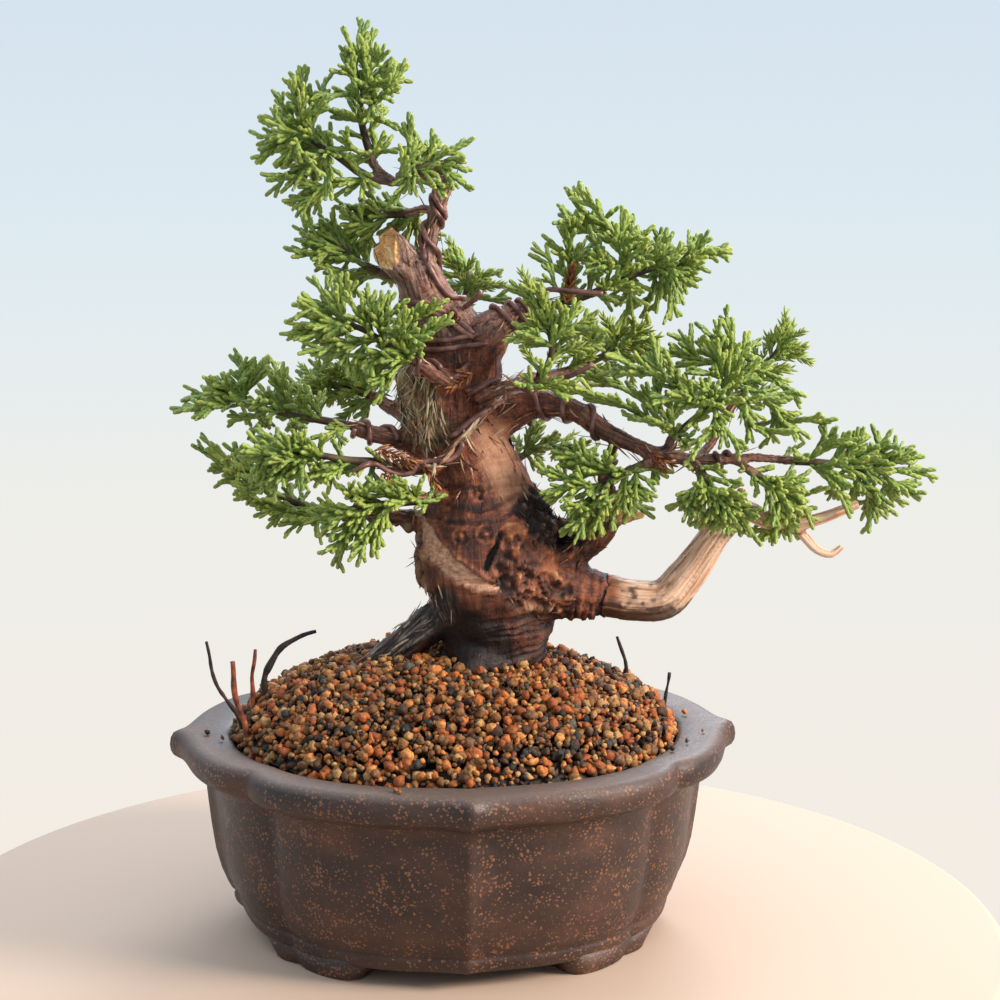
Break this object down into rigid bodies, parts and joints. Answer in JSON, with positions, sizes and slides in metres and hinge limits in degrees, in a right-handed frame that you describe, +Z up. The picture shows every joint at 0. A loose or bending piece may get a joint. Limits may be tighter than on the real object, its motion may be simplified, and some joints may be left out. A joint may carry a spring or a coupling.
{
  "type": "itoigawa juniper bonsai",
  "caption": "Juniper bonsai with a thick gnarled trunk, a bare dead branch, wired limbs and scaly green sprays, planted in a lobed unglazed stoneware pot on bracket feet.",
  "frame": {"origin": "under the middle of the whole plant's box, on the surface that it stands on", "axes": "+Z up, +X towards the right of the pot seen from its front, -Y the front"},
  "size_m": [0.2134, 0.1506, 0.251],
  "materials": {
    "stoneware": "unglazed dark brown stoneware with a low sheen",
    "soil": "loose dry grains of baked clay, pumice and lava",
    "plastic_net": "coarse dark green plastic net",
    "bark": "brushed red-brown juniper bark",
    "deadwood": "bare pale wood with brown stains",
    "dead_root": "dry dark root",
    "training_wire": "reddish brown anodised training wire",
    "foliage": "mid-green scale needles with yellow-green tips"
  },
  "bodies": {
    "root": {"pot": "stoneware", "soil": "soil", "drain_net_left": "plastic_net", "drain_net_right": "plastic_net", "trunk": "bark", "jin_branch": "deadwood", "wire_apex_1": "training_wire", "wire_apex_2": "training_wire", "wire_shoulder_1": "training_wire", "wire_shoulder_2": "training_wire", "wire_right": "training_wire", "wire_left": "training_wire", "wire_front_left": "training_wire", "wire_low_right": "training_wire", "wire_right_tip": "training_wire", "dead_root_1": "dead_root", "dead_root_2": "dead_root", "dead_root_3": "dead_root", "dead_root_4": "dead_root", "dead_root_5": "dead_root", "dead_root_6": "dead_root", "spray_apex_left": "foliage", "spray_apex_top": "foliage", "spray_apex_right": "foliage", "spray_under_apex": "foliage", "spray_left_high": "foliage", "spray_front_left": "foliage", "spray_left": "foliage", "spray_left_front": "foliage", "spray_left_low": "foliage", "spray_front_low": "foliage", "spray_right_high": "foliage", "spray_front_centre": "foliage", "spray_right": "foliage", "spray_right_under": "foliage", "spray_right_mid": "foliage", "spray_right_tip": "foliage", "spray_right_low": "foliage", "spray_right_shoot": "foliage", "spray_back_right": "foliage", "spray_back_high": "foliage", "spray_back": "foliage", "spray_back_low": "foliage", "spray_back_left": "foliage"}
  },
  "joints": []
}
